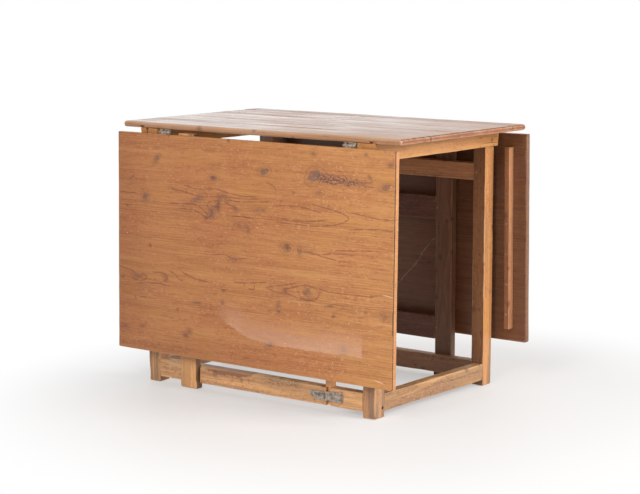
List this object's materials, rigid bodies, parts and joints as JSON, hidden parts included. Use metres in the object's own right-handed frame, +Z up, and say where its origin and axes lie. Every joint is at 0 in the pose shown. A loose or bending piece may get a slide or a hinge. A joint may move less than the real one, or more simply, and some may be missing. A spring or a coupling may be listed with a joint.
{
  "type": "drop-leaf gate-leg table",
  "caption": "Rustic pine table with a plank top, two long hinged leaves that hang down and, behind each, a swinging gate leg that holds the raised leaf.",
  "frame": {"origin": "on the floor under the middle of the table, both leaves hanging", "axes": "+X along the table's length, +Y from the front leaf to the back leaf, +Z up"},
  "size_m": [0.972, 0.6669, 0.75],
  "materials": {
    "top_pine": "old oiled pine, worn pale",
    "leaf_pine": "old oiled pine, satin",
    "batten_pine": "old oiled pine",
    "gate_pine": "old oiled pine, darker",
    "frame_pine": "old oiled pine, worn dry",
    "peg_wood": "whittled pegs, end grain",
    "wrought_iron": "hand-forged iron, dull grey, light rust"
  },
  "bodies": {
    "frame": {"top_board_1": "top_pine", "top_board_2": "top_pine", "top_board_3": "top_pine", "top_board_4": "top_pine", "top_board_5": "top_pine", "left_bearer": "frame_pine", "right_bearer": "frame_pine", "left_end_stretcher": "frame_pine", "right_end_stretcher": "frame_pine", "front_left_leg": "frame_pine", "front_right_leg": "frame_pine", "back_left_leg": "frame_pine", "back_right_leg": "frame_pine", "front_upper_rail": "frame_pine", "front_stretcher": "frame_pine", "front_keeper_plate": "wrought_iron", "front_keeper_nails": "wrought_iron", "front_left_hinge_top_plate": "wrought_iron", "front_right_hinge_top_plate": "wrought_iron", "front_hinge_top_screws": "wrought_iron", "back_upper_rail": "frame_pine", "back_stretcher": "frame_pine", "back_keeper_plate": "wrought_iron", "back_keeper_nails": "wrought_iron", "back_left_hinge_top_plate": "wrought_iron", "back_right_hinge_top_plate": "wrought_iron", "back_hinge_top_screws": "wrought_iron", "leg_pegs": "peg_wood", "rail_pegs": "peg_wood", "hinge_pins": "wrought_iron"},
    "front_leaf": {"front_leaf_board_1": "leaf_pine", "front_leaf_board_2": "leaf_pine", "front_leaf_board_3": "leaf_pine", "front_leaf_left_batten": "batten_pine", "front_leaf_right_batten": "batten_pine", "front_batten_screws": "wrought_iron", "front_left_hinge_leaf_plate": "wrought_iron", "front_right_hinge_leaf_plate": "wrought_iron", "front_hinge_leaf_screws": "wrought_iron"},
    "back_leaf": {"back_leaf_board_1": "leaf_pine", "back_leaf_board_2": "leaf_pine", "back_leaf_board_3": "leaf_pine", "back_leaf_left_batten": "batten_pine", "back_leaf_right_batten": "batten_pine", "back_batten_screws": "wrought_iron", "back_left_hinge_leaf_plate": "wrought_iron", "back_right_hinge_leaf_plate": "wrought_iron", "back_hinge_leaf_screws": "wrought_iron"},
    "front_gate": {"front_gate_leg": "gate_pine", "front_gate_stile": "gate_pine", "front_gate_lower_rail": "gate_pine", "front_gate_upper_rail": "gate_pine", "front_gate_pegs": "peg_wood"},
    "back_gate": {"back_gate_leg": "gate_pine", "back_gate_stile": "gate_pine", "back_gate_lower_rail": "gate_pine", "back_gate_upper_rail": "gate_pine", "back_gate_pegs": "peg_wood"}
  },
  "joints": [
    {"name": "front_leaf_hinge", "type": "hinge", "parent": "frame", "child": "front_leaf", "pos_m": [0, -0.2966, 0.7237], "axis": [-1, 0, 0], "range_deg": [0, 89]},
    {"name": "back_leaf_hinge", "type": "hinge", "parent": "frame", "child": "back_leaf", "pos_m": [0, 0.2966, 0.7237], "axis": [1, 0, 0], "range_deg": [0, 89]},
    {"name": "front_gate_pivot", "type": "hinge", "parent": "frame", "child": "front_gate", "pos_m": [0.237, -0.2695, 0.3], "axis": [0, 0, 1], "range_deg": [0, 1.1]},
    {"name": "back_gate_pivot", "type": "hinge", "parent": "frame", "child": "back_gate", "pos_m": [-0.259, 0.2695, 0.3], "axis": [0, 0, 1], "range_deg": [0, 1.1]}
  ]
}
